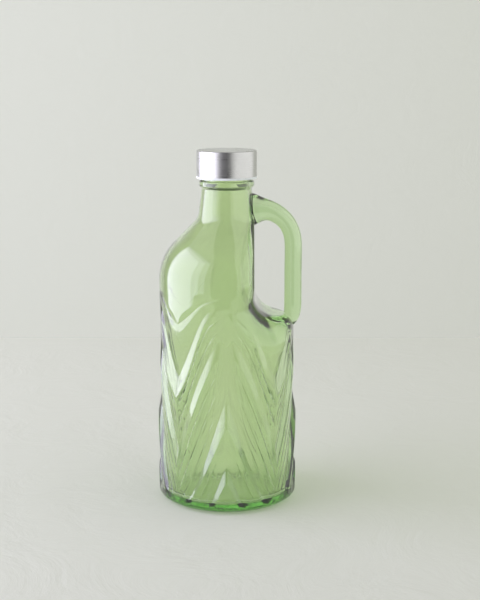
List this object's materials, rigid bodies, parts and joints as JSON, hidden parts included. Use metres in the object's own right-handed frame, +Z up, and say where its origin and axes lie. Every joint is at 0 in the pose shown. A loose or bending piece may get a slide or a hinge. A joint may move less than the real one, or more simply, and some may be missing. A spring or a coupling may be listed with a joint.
{
  "type": "glass bottle",
  "caption": "Transparent green moulded glass bottle with a leaf-patterned body, a loop handle at its side and a brushed steel screw cap.",
  "frame": {"origin": "centre of the bearing ring under the base, on the surface the bottle stands on", "axes": "+Z up along the bottle's axis, +X towards the handle"},
  "size_m": [0.0994, 0.096, 0.2409],
  "materials": {
    "green_glass": "clear pressed green glass",
    "cap_steel": "brushed round the rim",
    "liner_plastic": "milky translucent"
  },
  "bodies": {
    "root": {"bottle": "green_glass", "cap": "cap_steel", "cap_liner": "liner_plastic"}
  },
  "joints": []
}
